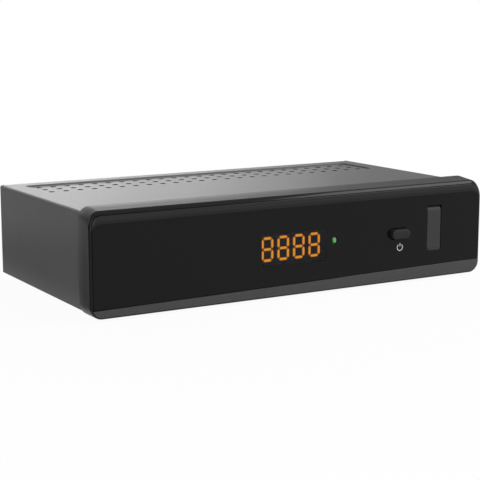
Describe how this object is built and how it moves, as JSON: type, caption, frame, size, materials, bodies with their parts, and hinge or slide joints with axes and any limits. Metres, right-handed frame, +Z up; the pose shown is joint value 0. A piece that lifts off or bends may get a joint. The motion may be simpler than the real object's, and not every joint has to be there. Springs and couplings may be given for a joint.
{
  "type": "terrestrial television receiver",
  "caption": "Low set-top television receiver: sheet-metal case with a vented top, gloss front panel with digit display, power button, hinged USB cover and rear sockets.",
  "frame": {"origin": "on the surface that the feet stand on, under the middle of the whole object", "axes": "+X to the right seen from the front, -Y out of the front panel, +Z up"},
  "size_m": [0.168, 0.1002, 0.0391],
  "materials": {
    "front_plastic": "moulded, fine satin grain",
    "gloss_panel": "smoked gloss acrylic",
    "button_plastic": "moulded, satin",
    "cover_plastic": "moulded, satin",
    "case_paint": "dark grey satin powder coat",
    "zinc_steel": "zinc coated sheet",
    "foot_rubber": "matt",
    "screw_steel": "black zinc",
    "board_green": "solder mask",
    "display_black": "matt",
    "digit_amber": "lit segments",
    "led_green": "lit diode",
    "light_guide": "clear guide lit from behind",
    "smoked_lens": "dark red window",
    "black_moulding": "moulded",
    "white_moulding": "moulded",
    "grey_plunger": "moulded",
    "nickel": "nickel plated",
    "tin": "tin plated",
    "gold": "gold plated",
    "orange_moulding": "moulded",
    "chip_resin": "moulded resin",
    "sink_aluminium": "extruded",
    "cap_sleeve": "shrink sleeve",
    "cap_top": "pressed",
    "coil_ferrite": "ferrite",
    "ceramic_tan": "fired"
  },
  "bodies": {
    "cabinet": {"front_bezel": "front_plastic", "front_lens": "gloss_panel", "light_pipe": "light_guide", "top_cover": "case_paint", "base_chassis": "zinc_steel", "rubber_feet": "foot_rubber", "rear_screws": "screw_steel", "main_board": "board_green", "board_screws": "screw_steel", "front_board": "board_green", "front_board_screws": "screw_steel", "board_link": "black_moulding", "display_module": "display_black", "display_digits": "digit_amber", "display_spacer": "white_moulding", "status_led": "led_green", "ir_receiver": "smoked_lens", "switch_body": "black_moulding", "usb_shell": "nickel", "usb_insert": "white_moulding", "usb_contacts": "gold", "tuner_shield": "tin", "antenna_in_sleeve": "nickel", "antenna_in_contact": "gold", "antenna_out_sleeve": "nickel", "antenna_out_pin": "gold", "antenna_insulators": "white_moulding", "hdmi_shell": "nickel", "hdmi_insert": "black_moulding", "scart_housing": "black_moulding", "scart_contacts": "gold", "coax_block": "orange_moulding", "coax_ring": "nickel", "coax_core": "orange_moulding", "power_inlet": "black_moulding", "power_inlet_pin": "nickel", "main_chip": "chip_resin", "heat_sink": "sink_aluminium", "memory_chip": "chip_resin", "flash_chip": "chip_resin", "regulators": "chip_resin", "capacitors": "cap_sleeve", "capacitor_tops": "cap_top", "inductors": "coil_ferrite", "crystal": "tin", "ceramic_parts": "ceramic_tan"},
    "power_button": {"power_button": "button_plastic"},
    "switch_plunger": {"switch_plunger": "grey_plunger"},
    "usb_cover": {"usb_cover": "cover_plastic"}
  },
  "joints": [
    {"name": "power_button_slide", "type": "slide", "parent": "cabinet", "child": "power_button", "axis": [0, 1, 0], "range_m": [0, 0.0005], "stiffness_N_per_m": 2000, "springref_m": -0.0002},
    {"name": "switch_plunger_slide", "type": "slide", "parent": "cabinet", "child": "switch_plunger", "axis": [0, 1, 0], "range_m": [0, 0.0005]},
    {"name": "usb_cover_hinge", "type": "hinge", "parent": "cabinet", "child": "usb_cover", "pos_m": [0.0609, -0.04585, 0.0275], "axis": [-1, 0, 0], "range_deg": [0, 90]}
  ],
  "couplings": [
    {"joint": "switch_plunger_slide", "follows": "power_button_slide", "ratio": 1}
  ]
}
